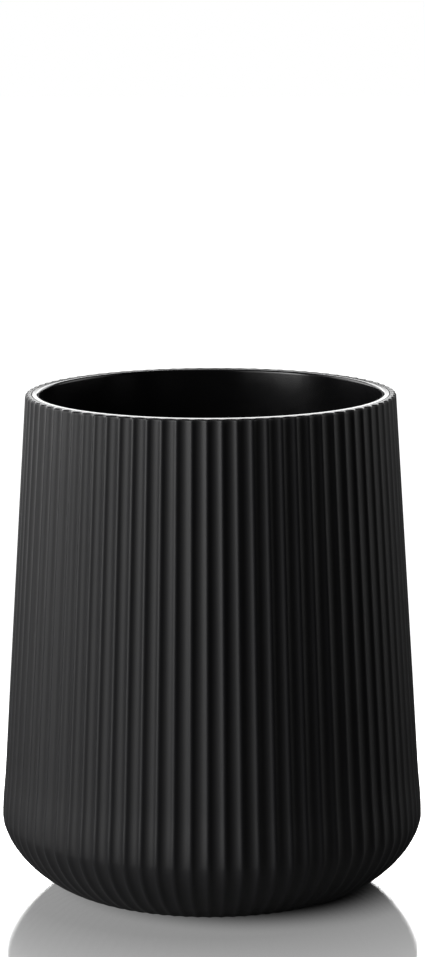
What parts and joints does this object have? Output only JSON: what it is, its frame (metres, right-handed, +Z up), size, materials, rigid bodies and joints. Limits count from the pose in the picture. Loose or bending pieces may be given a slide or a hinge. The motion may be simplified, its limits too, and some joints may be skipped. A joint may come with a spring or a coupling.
{
  "type": "toothbrush holder",
  "caption": "Round fluted cup that holds toothbrushes upright: ribbed matte shell, glossy lift-out liner and a base disc on soft feet.",
  "frame": {"origin": "centre of the plane that the feet stand on", "axes": "+Z up along the cup's axis, out of the mouth; +X through the middle of foot_pad_1"},
  "size_m": [0.088, 0.088, 0.104],
  "materials": {
    "shell": "matte black moulded plastic with a fine satin grain and a polished rim",
    "liner": "high-gloss black moulded plastic",
    "base": "matte black moulded plastic",
    "feet": "dull dark grey soft rubber"
  },
  "bodies": {
    "shell": {"fluted_shell": "shell", "base_disc": "base", "foot_pad_1": "feet", "foot_pad_2": "feet", "foot_pad_3": "feet", "foot_pad_4": "feet"},
    "liner": {"inner_liner": "liner"}
  },
  "joints": [
    {"name": "liner_lift", "type": "slide", "parent": "shell", "child": "liner", "axis": [0, 0, 1], "range_m": [0, 0.105]}
  ]
}
